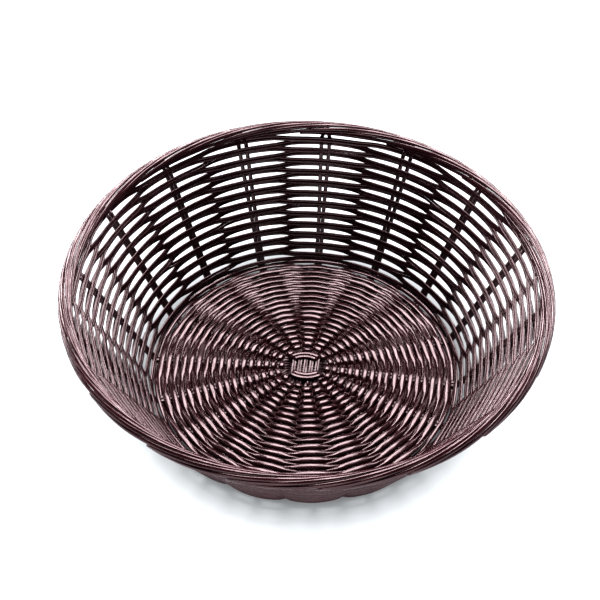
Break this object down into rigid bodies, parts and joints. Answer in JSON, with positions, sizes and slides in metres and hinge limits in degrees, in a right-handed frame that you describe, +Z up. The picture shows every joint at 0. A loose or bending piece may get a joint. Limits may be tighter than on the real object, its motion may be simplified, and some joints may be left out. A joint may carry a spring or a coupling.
{
  "type": "woven fruit basket",
  "caption": "Round, flared, open fruit basket of dark brown plastic strand: crossed paired sticks, a woven base and wall, a foot wale and a rolled border.",
  "frame": {"origin": "under the centre of the base, on the surface that the basket stands on", "axes": "+Z up through the open bowl; +X to the right and +Y to the back of the view from the front"},
  "size_m": [0.3, 0.3, 0.0885],
  "materials": {
    "stick": "dark brown extruded polypropylene strand, fine lengthwise ribs, satin gloss",
    "weave": "dark brown flat-oval extruded polypropylene strand, fine lengthwise ribs, satin gloss with pale highlights",
    "border": "the same dark brown strand laid side by side round the rim, satin gloss"
  },
  "bodies": {
    "root": {"upper_stick_1a": "stick", "upper_stick_1b": "stick", "upper_stick_2a": "stick", "upper_stick_2b": "stick", "upper_stick_3a": "stick", "upper_stick_3b": "stick", "upper_stick_4a": "stick", "upper_stick_4b": "stick", "lower_stick_1a": "stick", "lower_stick_1b": "stick", "lower_stick_2a": "stick", "lower_stick_2b": "stick", "lower_stick_3a": "stick", "lower_stick_3b": "stick", "lower_stick_4a": "stick", "lower_stick_4b": "stick", "added_stick_a": "stick", "added_stick_b": "stick", "base_weave": "weave", "foot_wale": "weave", "wall_weave": "weave", "rim_border": "border"}
  },
  "joints": []
}
